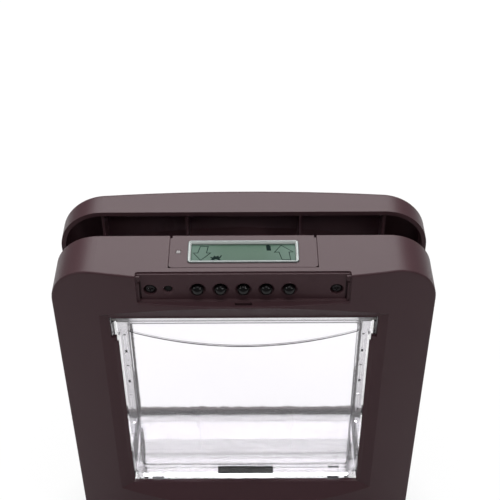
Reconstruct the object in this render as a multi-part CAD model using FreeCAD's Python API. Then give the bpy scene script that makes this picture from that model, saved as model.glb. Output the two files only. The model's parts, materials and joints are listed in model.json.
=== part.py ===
import FreeCAD, Part
import math
import os
from FreeCAD import Vector

# Electronic cat flap, in millimetres.
# X runs across the door, Y from the room to the garden, Z up.
# The origin is at the middle of the base, halfway through the depth.

# Outside form of both frames
width = 240.0
corner_r = 29.0

# Room side housing
front_depth = 42.0
front_bow_r = 516.0
front_edge_r = 1.2
front_wall = 2.6

# Door between the frames, and how far the garden side can move along it
door_gap = 23.0
slide_in = 9.0
slide_out = 14.0

# Garden side frame
rear_depth = 23.4
rear_bow_r = 1083.0
rear_edge_r = 3.6
rear_wall = 3.0
rear_setback = 6.0
rear_side_bevel = 3.0
rear_rib = 1.8
rear_rib_back = 3.0

# Opening and its bevelled surround
opening_w = 163.0
opening_h = 170.0
opening_drop = 40.0
opening_sill = 60.0
opening_setback = 10.4
side_bevel = 3.8
top_bevel = 1.67
surround_wall = 2.4
notch_w = 3.2
notch_h = 18.0

# Control recess in the top front edge
recess_w = 130.6
recess_floor_drop = 22.0
recess_depth = 7.2
recess_wall = 2.2
cover_rebate = 2.6
cover_step = 1.5
lip_r = 0.9
pivot_r = 1.2
pivot_drop = 6.2
pivot_deep = 1.6
clip_slot_w = 10.5
clip_slot_d = 1.8
clip_slot_front = 2.6

# Push buttons
button_count = 5
button_pitch = 14.0
button_drop = 13.5
button_r = 3.6
button_proud = 3.4
button_dome = 2.2
button_flange = 1.1
button_flange_t = 1.0
button_travel = 0.8
button_countersink = 1.4
button_stem_r = 1.8
button_stem_l = 1.4
reset_x = -46.0
reset_r = 2.4
reset_sunk = 1.3
reset_countersink = 1.0
run_fit = 0.08
seat_gap = 0.1

# Control board and its switches
board_t = 1.6
board_w = 104.0
board_h = 25.0
board_drop = 3.0
switch_body = 6.0
switch_t = 2.0
switch_key_r = 1.6
switch_key_l = 0.4
chip_w = 18.0
chip_h = 11.0
chip_t = 1.6
plug_x = 28.0
plug_w = 12.0
plug_h = 7.0
plug_t = 5.0
capacitor_x = -24.0
capacitor_r = 3.2
capacitor_l = 6.0
standoff_r = 2.2

# Display
panel_w = 91.6
panel_l = 29.7
panel_t = 2.0
panel_corner_r = 2.5
panel_seam = 0.2
tray_wall = 2.2
bezel_w = 68.5
bezel_l = 20.4
bezel_border = 1.9
bezel_proud = 0.8
bezel_r = 2.2
bezel_back = 5.1
screen_sunk = 1.0
screen_t = 1.6
module_t = 5.4
module_margin = 1.4
lamp_size = 3.0

# Clear tunnel, two lengths that telescope through the door
tunnel_step = 1.2
tunnel_wall = 1.8
tunnel_corner_r = 3.0
tunnel_fit = 0.3
tunnel_end_gap = 1.5
tunnel_overlap = 3.0
tunnel_flange = 5.0
outer_flange = 3.4
tunnel_flange_t = 2.0

# Clear swinging flap
flap_side_gap = 3.1
flap_ear = 1.4
flap_ear_h = 17.0
flap_top_gap = 2.4
flap_bottom_gap = 5.6
flap_t = 6.0
flap_setback = 1.6
flap_rim = 4.6
flap_top_rim = 6.7
flap_bottom_rim = 9.0
flap_corner_r = 8.0
pane_t = 2.0
groove_w = 1.8
groove_d = 2.2
groove_rib = 1.4
rib_pitch_top = 24.0
rib_pitch_side = 13.0
dish_rise = 1.7
dish_slope = 3.4
dish_drop = 7.3
dish_sag = 8.3
hinge_drop = 4.8
pin_r = 1.5
pin_len = 16.0
bearing_l = 5.4
bearing_h = 10.0
bearing_d = 6.4
bearing_cap = 0.8

# Latches under the sill
latch_x = 64.0
pawl_w = 8.0
pawl_t = 3.0
pawl_travel = 5.2
pawl_hold = 3.5
pawl_clear = 0.3
plunger_r = 2.5
tab_t = 2.0
tab_drop = 4.4
tab_gap = 0.4
coil_w = 12.0
coil_h = 24.0
coil_clear = 1.2
coil_stop = 3.0
yoke_t = 1.2
bobbin_edge = 0.6
magnet_w = 40.0
magnet_t = 3.6
magnet_h = 5.0

# Chip reader coil round the tunnel
reader_t = 3.0
reader_l = 10.0
reader_setback = 24.0

# Chassis plate against the door, with its pillars
chassis_t = 2.5
chassis_fit = 0.3
pillar_r = 3.6
cover_screw_x = 57.0
base_screw_inset = 28.0
base_screw_rise = 20.0
screw_r = 1.5
screw_head_r = 3.2
screw_head_t = 2.0
screw_sunk = 1.0
screw_grip = 12.0
screw_floor = 2.6
counterbore_gap = 1.0
boss_wall = 1.6

# Bolts through the door
bolt_top_drop = 45.0
bolt_spacing_z = 180.0
bolt_r = 2.0
bolt_head_r = 4.0
bolt_head_t = 2.5
bolt_hole_gap = 0.5
bolt_boss_r = 6.0
bolt_boss_back = 1.5
bolt_reach = 18.0
nut_af = 7.0
nut_t = 3.2
nut_washer_r = 4.5
nut_washer_t = 1.0

# Batteries
cell_r = 7.25
cell_l = 50.5
cell_nub_r = 2.6
cell_nub_l = 1.3
cell_gap = 0.3
box_wall = 1.6
contact_t = 0.4
contact_w = 10.0
contact_spring = 2.4
battery_cover_seam = 0.25
battery_cover_lap = 0.7
battery_pad_wall = 1.0
battery_screw_rise = 12.0

# Places worked out from the sizes
height = opening_drop + opening_h + opening_sill
depth = front_depth + door_gap + rear_depth
y_front = -depth / 2
y_door_in = y_front + front_depth
y_door_out = y_door_in + door_gap
y_rear = depth / 2
y_open = y_front + opening_setback
x_open = opening_w / 2
z_open_top = height - opening_drop
z_open_bottom = z_open_top - opening_h
side_land = surround_wall * math.sqrt(1 + side_bevel ** 2) / side_bevel
top_land = surround_wall * math.sqrt(1 + top_bevel ** 2) / top_bevel
y_tunnel = y_open + max(side_land, top_land) + 0.2
x_tunnel = x_open + tunnel_step
z_tunnel_top = z_open_top + tunnel_step
z_tunnel_bottom = z_open_bottom - tunnel_step
y_panel = y_front + recess_depth
y_panel_back = y_panel + recess_wall
z_button = height - button_drop
z_recess = height - recess_floor_drop
x_recess = recess_w / 2
x_pocket = x_recess - cover_rebate
y_flap = y_open + flap_setback
y_hinge = y_flap + flap_t / 2
z_flap_top = z_tunnel_top - flap_top_gap
z_flap_bottom = z_tunnel_bottom + flap_bottom_gap
z_hinge = z_flap_top - hinge_drop
x_flap = x_tunnel - flap_side_gap
x_ear = x_flap + flap_ear
rear_side_land = surround_wall * math.sqrt(1 + rear_side_bevel ** 2) / rear_side_bevel
y_rear_open = y_rear - rear_setback
y_sleeve = y_door_in + slide_in + tunnel_end_gap
y_outer_end = y_rear_open - max(rear_side_land, top_land) - tunnel_fit
tunnel_sleeve = tunnel_wall + tunnel_fit
x_sleeve = x_tunnel + tunnel_sleeve
z_sleeve_top = z_tunnel_top + tunnel_sleeve
z_sleeve_bottom = z_tunnel_bottom - tunnel_sleeve
sleeve_r = tunnel_corner_r + tunnel_sleeve
x_outer_flange = x_sleeve + tunnel_wall + outer_flange
bolt_x = (x_outer_flange + width / 2 - rear_wall) / 2
z_bolts = (height - bolt_top_drop, height - bolt_top_drop - bolt_spacing_z)
base_screw_x = width / 2 - base_screw_inset


def box(x0, x1, y0, y1, z0, z1):
    return Part.makeBox(x1 - x0, y1 - y0, z1 - z0, Vector(x0, y0, z0))


def rod_x(x0, x1, y, z, r):
    return Part.makeCylinder(r, x1 - x0, Vector(x0, y, z), Vector(1, 0, 0))


def rod_y(x, z, r, y0, y1):
    return Part.makeCylinder(r, y1 - y0, Vector(x, y0, z), Vector(0, 1, 0))


def rod_z(x, y, r, z0, z1):
    return Part.makeCylinder(r, z1 - z0, Vector(x, y, z0), Vector(0, 0, 1))


def cone_y(x, z, r0, r1, y0, y1):
    return Part.makeCone(r0, r1, y1 - y0, Vector(x, y0, z), Vector(0, 1, 0))


def join(shapes):
    """One solid from shapes that overlap or share faces."""
    return shapes[0].multiFuse(shapes[1:]).removeSplitter()


def both_sides(shape):
    """The shape and its mirror image across the middle plane."""
    return [shape, shape.mirror(Vector(0, 0, 0), Vector(1, 0, 0))]


def rounded_wire(x0, x1, z0, z1, r, y):
    """Upright rectangle with round corners, in the plane at y."""
    if r <= 0:
        corners = [Vector(x0, y, z0), Vector(x1, y, z0), Vector(x1, y, z1), Vector(x0, y, z1)]
        return Part.makePolygon(corners + corners[:1])
    centres = ((x1 - r, z0 + r, -90), (x1 - r, z1 - r, 0), (x0 + r, z1 - r, 90), (x0 + r, z0 + r, 180))
    arcs = []
    for cx, cz, start in centres:
        points = []
        for turn in (0, 45, 90):
            a = math.radians(start + turn)
            points.append(Vector(cx + r * math.cos(a), y, cz + r * math.sin(a)))
        arcs.append(Part.Arc(*points).toShape())
    edges = []
    for i, arc in enumerate(arcs):
        edges.append(arc)
        here = arc.Vertexes[-1].Point
        there = arcs[(i + 1) % 4].Vertexes[0].Point
        edges.append(Part.LineSegment(here, there).toShape())
    return Part.Wire(edges)


def rounded_block(x0, x1, z0, z1, r, y0, y1):
    face = Part.Face(rounded_wire(x0, x1, z0, z1, r, y0))
    return face.extrude(Vector(0, y1 - y0, 0))


def rectangle_ring(x, z0, z1, r, t, y0, y1):
    """Tube of wall t round a rounded rectangle of half width x."""
    outer = rounded_block(-x - t, x + t, z0 - t, z1 + t, r + t, y0, y1)
    return outer.cut(rounded_block(-x, x, z0, z1, r, y0 - 1, y1 + 1))


def bow_y(x, crest, radius, inset=0.0):
    """Y of a face bowed about an upright axis; a positive radius bows to the room."""
    centre = crest + radius
    rise = math.sqrt((abs(radius) - inset) ** 2 - x * x)
    return centre - math.copysign(rise, radius)


def bowed_form(crest, radius, y_flat, inset):
    """Rounded slab with one flat face and one bowed face, shrunk by inset."""
    x = width / 2 - inset
    over = x + 5
    edge_y = bow_y(over, crest, radius, inset)
    crown = Vector(0, bow_y(0, crest, radius, inset), -1)
    left, right = Vector(-over, edge_y, -1), Vector(over, edge_y, -1)
    flat_left, flat_right = Vector(-over, y_flat, -1), Vector(over, y_flat, -1)
    plan = Part.Wire([
        Part.Arc(left, crown, right).toShape(),
        Part.LineSegment(right, flat_right).toShape(),
        Part.LineSegment(flat_right, flat_left).toShape(),
        Part.LineSegment(flat_left, left).toShape()])
    slab = Part.Face(plan).extrude(Vector(0, 0, height + 2))
    y0, y1 = min(crown.y, y_flat) - 1, max(crown.y, y_flat) + 1
    outline = rounded_block(-x, x, inset, height - inset, corner_r - inset, y0, y1)
    return outline.common(slab)


def soften_bow(form, y_flat, r):
    """Round the edge where the bowed face meets the sides."""
    edges = [e for e in form.Edges
             if min(abs(v.Point.y - y_flat) for v in e.Vertexes) > 1.0]
    return form.makeFillet(r, edges)


def surround(y_edge, outward, side_slope, grow, extra):
    """Four sided funnel of the opening. outward is -1 to the room, 1 to the garden."""
    reach = opening_setback + 6.0
    side = grow * math.sqrt(1 + side_slope ** 2)
    rise = grow * math.sqrt(1 + top_bevel ** 2)
    wires = []
    for step in (-extra, reach):
        x = x_open + side + side_slope * step
        z = rise + top_bevel * step
        y = y_edge + outward * step
        wires.append(rounded_wire(-x, x, z_open_bottom - z, z_open_top + z, 0, y))
    return Part.makeLoft(wires, True, True)


def pair_places(x, z, y_face):
    """X, Z and front face Y of a screw and its mirror image."""
    return [(-x, z, y_face), (x, z, y_face)]


screw_seat = screw_sunk + screw_head_t
boss_len = screw_seat + screw_floor
head_hole_r = screw_head_r + counterbore_gap
shank_hole_r = screw_r + 0.2


def screw(x, z, y_face):
    """Pan head screw whose head is sunk below the face at y_face."""
    y_head = y_face + screw_sunk
    y_shank = y_head + screw_head_t
    crown = screw_head_t * 0.4
    head = cone_y(x, z, screw_head_r - crown, screw_head_r, y_head, y_head + crown)
    rim = rod_y(x, z, screw_head_r, y_head + crown, y_shank)
    shank = rod_y(x, z, screw_r, y_shank, y_shank + screw_floor + screw_grip)
    return join([head, rim, shank])


def button_xs():
    first = -button_pitch * (button_count - 1) / 2
    return [first + i * button_pitch for i in range(button_count)]


# Battery bay
cells_h = 4 * cell_r + 2 * cell_gap
z_bay_bottom = front_wall + chassis_fit + box_wall
z_bay_top = z_bay_bottom + cells_h
x_bay = cell_gap + cell_l + contact_spring + contact_t
y_cells = bow_y(cell_l, y_front, front_bow_r) + front_wall + cell_gap + cell_r
y_bay_back = y_cells + cell_r + cell_gap
battery_pad_r = head_hole_r + battery_pad_wall
battery_screw_x = x_bay + box_wall + seat_gap + battery_pad_r
x_cover = battery_screw_x + battery_pad_r + battery_cover_lap
z_cover_bottom = z_bay_bottom - battery_cover_lap
z_cover_top = z_bay_top + battery_cover_lap
y_cover_back = bow_y(x_cover, y_front, front_bow_r) + boss_len

cover_places = pair_places(cover_screw_x, z_button, y_panel)
base_places = pair_places(base_screw_x, base_screw_rise, bow_y(base_screw_x, y_front, front_bow_r))
battery_places = pair_places(battery_screw_x, battery_screw_rise,
                             bow_y(battery_screw_x, y_front, front_bow_r))
pillar_places = cover_places + base_places + battery_places


def battery_cover_block(grow):
    x = x_cover + grow
    return rounded_block(-x, x, z_cover_bottom - grow, z_cover_top + grow, 2.0 + grow,
                         y_front - 2, y_cover_back)


def recess_cuts():
    """Pocket, side rebates and top step, open to the front and the top."""
    y0, z1 = y_front - 5, height + 5
    y_rebate = bow_y(x_recess, y_front, front_bow_r) + cover_step
    pocket = box(-x_pocket, x_pocket, y0, y_panel, z_recess, z1)
    sides = box(-x_recess, x_recess, y0, y_rebate, z_recess, z1)
    top = box(-x_recess, x_recess, y0, y_panel + cover_step, height - cover_step, z1)
    return join([pocket, sides, top])


def recess_walls():
    """Material left round the recess inside the housing."""
    x = x_recess + recess_wall
    z0 = z_recess - recess_wall
    y0 = y_front - 5
    deep = box(-x, x, y0, y_panel_back, z0, height)
    top = box(-x, x, y0, y_panel_back + cover_step, height - cover_step - recess_wall, height)
    return join([deep, top])


def display_tray(grow, drop):
    x = panel_w / 2 + grow
    y0 = y_door_in - panel_l - grow
    return box(-x, x, y0, y_door_in + 1, height - drop, height + 1)


# The moulded housing on the room side
def front_housing():
    form = bowed_form(y_front, front_bow_r, y_door_in, 0)
    form = soften_bow(form, y_door_in, front_edge_r)
    cavity = bowed_form(y_front, front_bow_r, y_door_in + 5, front_wall)
    cavity = cavity.cut(recess_walls())
    cavity = cavity.cut(surround(y_open, -1, side_bevel, surround_wall, y_tunnel - y_open))
    cavity = cavity.cut(display_tray(tray_wall, panel_t + tray_wall))
    for x, z, y_face in cover_places + base_places:
        cavity = cavity.cut(rod_y(x, z, head_hole_r + boss_wall, y_face - 2, y_face + boss_len))
    for x in (-standoff_x, standoff_x):
        for z in (z_board_top - standoff_r, z_board_top - board_h + standoff_r):
            cavity = cavity.cut(rod_y(x, z, standoff_r, y_panel, y_board))
    shell = form.cut(cavity)
    shell = shell.cut(surround(y_open, -1, side_bevel, 0, 0))
    shell = shell.cut(box(-x_open, x_open, y_open - 1, y_tunnel + 1, z_open_bottom, z_open_top))
    notch = box(x_open - 1, x_open + notch_w, y_open - 3, y_tunnel + 1, z_open_top - notch_h, z_open_top)
    for side in both_sides(notch):
        shell = shell.cut(side)
    shell = shell.cut(recess_cuts())
    shell = soften_lip(shell)
    shell = shell.cut(display_tray(0, panel_t))
    x_win = x_module + tunnel_fit
    y_win = y_module + tunnel_fit
    shell = shell.cut(box(-x_win, x_win, y_screen - y_win, y_screen + y_win,
                          height - panel_t - tray_wall - 1, height))
    holes = []
    for x in button_xs():
        holes.append(rod_y(x, z_button, button_r + run_fit, y_panel - 1, y_panel_back + 1))
        holes.append(cone_y(x, z_button, button_r + run_fit + button_countersink, button_r + run_fit,
                            y_panel, y_panel + button_countersink))
    holes.append(rod_y(reset_x, z_button, reset_r + run_fit, y_panel - 1, y_panel_back + 1))
    holes.append(cone_y(reset_x, z_button, reset_r + run_fit + reset_countersink, reset_r + run_fit,
                        y_panel, y_panel + reset_countersink))
    for x, z, y_face in cover_places + base_places:
        holes.append(rod_y(x, z, head_hole_r, y_face - 3, y_face + screw_seat))
        holes.append(rod_y(x, z, shank_hole_r, y_face, y_face + boss_len + 1))
    y_pivot = bow_y(x_recess, y_front, front_bow_r) + cover_step - pivot_r
    for socket in both_sides(rod_x(x_pocket, x_recess + pivot_deep, y_pivot, height - pivot_drop, pivot_r)):
        holes.append(socket)
    y_slot = y_front + clip_slot_front
    holes.append(box(-clip_slot_w / 2, clip_slot_w / 2, y_slot, y_slot + clip_slot_d,
                     z_recess - recess_wall - 1, z_recess + 1))
    holes.append(battery_cover_block(battery_cover_seam))
    for side in (-1, 1):
        holes.append(pawl_slot(side))
    for hole in holes:
        shell = shell.cut(hole)
    return shell


def soften_lip(shell):
    """Round the front lip of the recess floor."""
    edges = [e for e in shell.Edges
             if abs(e.BoundBox.ZMax - z_recess) < 0.01 and abs(e.BoundBox.ZMin - z_recess) < 0.01
             and e.BoundBox.YMax < y_front + 6 and e.BoundBox.XLength > x_pocket]
    return shell.makeFillet(lip_r, edges) if edges else shell


# Board, switches and display inside the top of the housing
y_flange = y_panel_back + seat_gap
y_stem = y_flange + button_flange_t + button_stem_l
y_board = y_stem + button_travel + seat_gap + switch_key_l + switch_t
y_screen = y_door_in - bezel_back - bezel_l / 2
z_board_top = height - panel_t - module_t - board_drop
standoff_x = (button_pitch * (button_count - 1) / 2 - reset_x) / 2
lamp_x = -(bezel_w + panel_w) / 4
x_module = bezel_w / 2 + module_margin
y_module = bezel_l / 2 + module_margin


def main_board():
    x = board_w / 2
    board = rounded_block(-x, x, z_board_top - board_h, z_board_top, 1.5, y_board, y_board + board_t)
    y0, z0 = y_board + board_t, z_board_top - board_h * 0.55
    chip = box(-chip_w / 2, chip_w / 2, y0, y0 + chip_t, z0 - chip_h / 2, z0 + chip_h / 2)
    plug = box(plug_x - plug_w / 2, plug_x + plug_w / 2, y0, y0 + plug_t, z0 - plug_h / 2, z0 + plug_h / 2)
    capacitor = rod_y(capacitor_x, z0, capacitor_r, y0, y0 + capacitor_l)
    return join([board, chip, plug, capacitor])


def key_switches():
    half = switch_body / 2
    parts = []
    for x in button_xs() + [reset_x]:
        body = box(x - half, x + half, y_board - switch_t, y_board, z_button - half, z_button + half)
        y_key = y_board - switch_t
        plunger = rod_y(x, z_button, switch_key_r, y_key - switch_key_l, y_key + 0.1)
        parts.append(join([body, plunger]))
    return Part.makeCompound(parts)


def push_button(x):
    """Cap with a round dome, and the flange and stem behind the panel."""
    y_tip = y_panel - button_proud
    y_shoulder = y_tip + button_dome
    dome_r = (button_r ** 2 + button_dome ** 2) / (2 * button_dome)
    half = math.asin(button_r / dome_r) / 2
    dome = Vector(dome_r * math.sin(half), y_tip + dome_r * (1 - math.cos(half)), 0)
    y_flange_back = y_flange + button_flange_t
    profile = Part.Wire([
        Part.Arc(Vector(0, y_tip, 0), dome, Vector(button_r, y_shoulder, 0)).toShape(),
        Part.makePolygon([
            Vector(button_r, y_shoulder, 0), Vector(button_r, y_flange, 0),
            Vector(button_r + button_flange, y_flange, 0),
            Vector(button_r + button_flange, y_flange_back, 0),
            Vector(button_stem_r, y_flange_back, 0), Vector(button_stem_r, y_stem, 0),
            Vector(0, y_stem, 0), Vector(0, y_tip, 0)])])
    cap = Part.Face(profile).revolve(Vector(0, 0, 0), Vector(0, 1, 0), 360)
    cap.translate(Vector(x, 0, z_button))
    return cap


def reset_button():
    y_flange_back = y_flange + button_flange_t
    cap = rod_y(reset_x, z_button, reset_r, y_panel + reset_sunk, y_flange + 0.2)
    edge = [e for e in cap.Edges if abs(e.BoundBox.YMax - y_panel - reset_sunk) < 0.01]
    cap = cap.makeChamfer(reset_r * 0.2, edge)
    flange = rod_y(reset_x, z_button, reset_r + button_flange, y_flange, y_flange_back)
    stem = rod_y(reset_x, z_button, button_stem_r, y_flange_back - 0.1, y_stem)
    return join([cap, flange, stem])


def display_panel():
    x = panel_w / 2 - panel_seam
    y0 = y_door_in - panel_l + panel_seam
    plate = box(-x, x, y0, y_door_in, height - panel_t, height)
    corners = [e for e in plate.Edges
               if e.BoundBox.ZLength > panel_t / 2 and e.BoundBox.YMax < y0 + 1]
    plate = plate.makeFillet(panel_corner_r, corners)
    x_in, y_in = bezel_w / 2 - bezel_border, bezel_l / 2 - bezel_border
    plate = plate.cut(box(-x_in, x_in, y_screen - y_in, y_screen + y_in, height - panel_t - 1, height + 1))
    half = lamp_size / 2
    plate = plate.cut(box(lamp_x - half, lamp_x + half, y_screen - half, y_screen + half,
                          height - panel_t - 1, height + 1))
    for snap in both_sides(box(x - 1.4, x + 1, y_door_in - 2.2, y_door_in + 1, height - panel_t - 1, height + 1)):
        plate = plate.cut(snap)
    return plate


def flat_rounded(x, y_mid, half_y, r, z0, z1):
    """Level slab with round corners, centred on X."""
    slab = rounded_block(-x, x, -half_y, half_y, r, 0, z1 - z0)
    slab.rotate(Vector(0, 0, 0), Vector(1, 0, 0), 90)
    slab.translate(Vector(0, y_mid, z0))
    return slab


def display_bezel():
    x, y = bezel_w / 2, bezel_l / 2
    ring = flat_rounded(x, y_screen, y, bezel_r, height, height + bezel_proud)
    top = [e for e in ring.Edges if e.BoundBox.ZMin > height + bezel_proud - 0.01]
    ring = ring.makeFillet(bezel_proud * 0.6, top)
    inner = flat_rounded(x - bezel_border, y_screen, y - bezel_border, bezel_r * 0.4, height - 1, height + 3)
    return ring.cut(inner)


def lcd_screen():
    x, y = bezel_w / 2 - bezel_border - seat_gap, bezel_l / 2 - bezel_border - seat_gap
    z1 = height - screen_sunk
    return box(-x, x, y_screen - y, y_screen + y, z1 - screen_t, z1)


def lcd_module():
    """Frame and driver board that the glass sits in, under the panel."""
    z1 = height - panel_t
    body = box(-x_module, x_module, y_screen - y_module, y_screen + y_module, z1 - module_t, z1)
    xi, yi = bezel_w / 2 - bezel_border, bezel_l / 2 - bezel_border
    z_seat = height - screen_sunk - screen_t
    return body.cut(box(-xi, xi, y_screen - yi, y_screen + yi, z_seat - seat_gap, z1 + 1))


def indicator_window():
    half = lamp_size / 2 - 0.05
    return box(lamp_x - half, lamp_x + half, y_screen - half, y_screen + half, height - panel_t, height + 0.2)


# Chassis plate that lies against the door, with the screw pillars
def chassis():
    inset = front_wall + chassis_fit
    x = width / 2 - inset
    y0 = y_door_in - chassis_t
    plate = rounded_block(-x, x, inset, height - inset, corner_r - inset, y0, y_door_in)
    parts = [plate]
    for px, pz, y_face in pillar_places:
        parts.append(rod_y(px, pz, pillar_r, y_face + boss_len + seat_gap, y0 + 0.5))
    rib = chassis_t
    for side in (-1, 1):
        y_coil_back = latch_y(side) + coil_w / 2
        for rib_x in (side * latch_x - coil_w / 2, side * latch_x + coil_w / 2 - rib):
            parts.append(box(rib_x, rib_x + rib, y_coil_back + seat_gap, y0 + 0.5,
                             z_coil_top - coil_h, z_coil_top))
    body = join(parts)
    body = body.cut(rounded_block(-x_sleeve, x_sleeve, z_sleeve_bottom, z_sleeve_top, sleeve_r,
                                  y0 - 1, y_door_in + 1))
    body = body.cut(display_tray(tray_wall + chassis_fit, panel_t + tray_wall + chassis_fit))
    for px, pz, y_face in pillar_places:
        body = body.cut(rod_y(px, pz, screw_r, y_face, y_face + boss_len + screw_grip + 1))
    for px in (-bolt_x, bolt_x):
        for pz in z_bolts:
            body = body.cut(rod_y(px, pz, bolt_r + bolt_hole_gap, y0 - 1, y_door_in + 1))
    return body


def cover_screws():
    return Part.makeCompound([screw(*place) for place in cover_places])


def base_screws():
    return Part.makeCompound([screw(*place) for place in base_places])


def battery_cover_screws():
    return Part.makeCompound([screw(*place) for place in battery_places])


# Tunnel through the door
def inner_tunnel():
    y1 = y_sleeve + slide_out + tunnel_overlap
    tube = rectangle_ring(x_tunnel, z_tunnel_bottom, z_tunnel_top, tunnel_corner_r, tunnel_wall, y_tunnel, y1)
    y_chassis = y_door_in - chassis_t
    flange = rectangle_ring(x_tunnel, z_tunnel_bottom, z_tunnel_top, tunnel_corner_r,
                            tunnel_wall + tunnel_flange, y_chassis - tunnel_flange_t, y_chassis)
    tube = join([tube, flange])
    slot_r = pin_r + pawl_clear
    for side in (-1, 1):
        x0, x1 = sorted((side * (x_tunnel - 1), side * (x_tunnel + tunnel_wall + 1)))
        tube = tube.cut(box(x0, x1, y_tunnel - 1, y_hinge, z_hinge - slot_r, z_hinge + slot_r))
        tube = tube.cut(rod_x(x0, x1, y_hinge, z_hinge, slot_r))
        tube = tube.cut(pawl_slot(side))
    return tube


def outer_tunnel():
    tube = rectangle_ring(x_sleeve, z_sleeve_bottom, z_sleeve_top, sleeve_r, tunnel_wall,
                          y_sleeve, y_outer_end)
    flange = rectangle_ring(x_sleeve, z_sleeve_bottom, z_sleeve_top, sleeve_r, tunnel_wall + outer_flange,
                            y_outer_end - tunnel_flange_t, y_outer_end)
    return join([tube, flange])


def hinge_bearing(side):
    x0, x1 = sorted((side * (x_tunnel + tunnel_wall), side * (x_tunnel + tunnel_wall + bearing_l)))
    block = box(x0, x1, y_tunnel, y_hinge + bearing_d / 2, z_hinge - bearing_h / 2, z_hinge + bearing_h / 2)
    edges = [e for e in block.Edges if e.BoundBox.XLength > bearing_l / 2 and e.BoundBox.YMin > y_hinge]
    block = block.makeFillet(1.6, edges)
    b0, b1 = sorted((side * x_tunnel, side * (x_tunnel + tunnel_wall + bearing_l - bearing_cap)))
    return block.cut(rod_x(b0, b1, y_hinge, z_hinge, pin_r + run_fit))


def reader_coil():
    y0 = y_front + reader_setback
    return rectangle_ring(x_sleeve, z_sleeve_bottom, z_sleeve_top, sleeve_r, reader_t, y0, y0 + reader_l)


# Latches
def latch_y(side):
    """The left pawl stands behind its tab and the right one in front of it."""
    shift = tab_t / 2 + tab_gap / 2
    return y_hinge - side * shift


def pawl_slot(side):
    """Slot that a pawl rises through, in the sill."""
    x, y = side * latch_x, latch_y(side)
    half = pawl_w / 2 + pawl_clear
    thick = pawl_t / 2 + pawl_clear
    return box(x - half, x + half, y - thick, y + thick, z_coil_top, z_tunnel_bottom + flap_bottom_gap)


y_coil_front = latch_y(1) - coil_w / 2
z_surround_under = (z_open_bottom - surround_wall * math.sqrt(1 + top_bevel ** 2)
                    - top_bevel * (y_open - y_coil_front))
z_coil_top = z_surround_under - coil_clear
z_pawl_top = z_flap_bottom - tab_drop + pawl_hold - pawl_travel


def latch_pawl(side):
    x, y = side * latch_x, latch_y(side)
    z0 = z_coil_top + pawl_clear
    z_stop = z_coil_top - coil_h + coil_stop
    blade = box(x - pawl_w / 2, x + pawl_w / 2, y - pawl_t / 2, y + pawl_t / 2, z0, z_pawl_top)
    top = [e for e in blade.Edges if e.BoundBox.ZMin > z_pawl_top - 0.01 and e.BoundBox.XLength > pawl_w / 2]
    blade = blade.makeFillet(pawl_t * 0.3, top)
    plunger = rod_z(x, y, plunger_r, z_stop + pawl_clear, z0 + 0.4)
    return join([blade, plunger])


def latch_coil(side):
    """Solenoid: folded steel yoke round the winding, with a bore for the plunger."""
    x, y = side * latch_x, latch_y(side)
    half = coil_w / 2
    z0 = z_coil_top - coil_h
    yoke = box(x - half, x + half, y - half, y + half, z0, z_coil_top)
    inner = half - yoke_t
    window = box(x - inner, x + inner, y - half - 1, y + half + 1, z0 + yoke_t, z_coil_top - yoke_t)
    winding = rod_z(x, y, inner - bobbin_edge, z0 + yoke_t, z_coil_top - yoke_t)
    bobbin = [box(x - inner, x + inner, y - inner, y + inner, z, z + yoke_t)
              for z in (z0 + yoke_t, z_coil_top - 2 * yoke_t)]
    body = join([yoke.cut(window), winding] + bobbin)
    return body.cut(rod_z(x, y, plunger_r + run_fit, z0 + coil_stop, z_coil_top + 1))


def sill_magnet():
    z1 = z_tunnel_bottom - tunnel_wall - seat_gap
    return box(-magnet_w / 2, magnet_w / 2, y_hinge - magnet_t, y_hinge + magnet_t, z1 - magnet_h, z1)


# Swinging flap
def flap_outline(grow, y0, y1):
    """Outline of the flap with its wider ears at the top."""
    x = x_flap + grow
    body = rounded_block(-x, x, z_flap_bottom - grow, z_flap_top + flap_corner_r * 2, flap_corner_r, y0, y1)
    body = body.cut(box(-x - 1, x + 1, y0 - 1, y1 + 1, z_flap_top + grow, z_flap_top + flap_corner_r * 3))
    ears = rounded_block(-x_ear - grow, x_ear + grow, z_flap_top - flap_ear_h, z_flap_top + grow, 1.2, y0, y1)
    return join([body, ears])


def dish_wire(shrink, y):
    """Outline of the pressed panel, with the shallow arc along its top."""
    x = x_flap - flap_rim - shrink
    z0 = z_flap_bottom + flap_bottom_rim + 1.2 + shrink
    z_side = z_flap_top - flap_top_rim - dish_drop - shrink * 0.25
    r = 3.0
    z_mid = z_side - dish_sag
    b = r * math.sqrt(0.5)
    points = {"tl": Vector(-x, y, z_side), "tr": Vector(x, y, z_side), "tm": Vector(0, y, z_mid)}
    low_l, low_r = Vector(-x, y, z0 + r), Vector(x, y, z0 + r)
    in_l, in_r = Vector(-x + r, y, z0), Vector(x - r, y, z0)
    mid_l, mid_r = Vector(-x + r - b, y, z0 + r - b), Vector(x - r + b, y, z0 + r - b)
    return Part.Wire([
        Part.Arc(points["tl"], points["tm"], points["tr"]).toShape(),
        Part.LineSegment(points["tr"], low_r).toShape(),
        Part.Arc(low_r, mid_r, in_r).toShape(),
        Part.LineSegment(in_r, in_l).toShape(),
        Part.Arc(in_l, mid_l, low_l).toShape(),
        Part.LineSegment(low_l, points["tl"]).toShape()])


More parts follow.
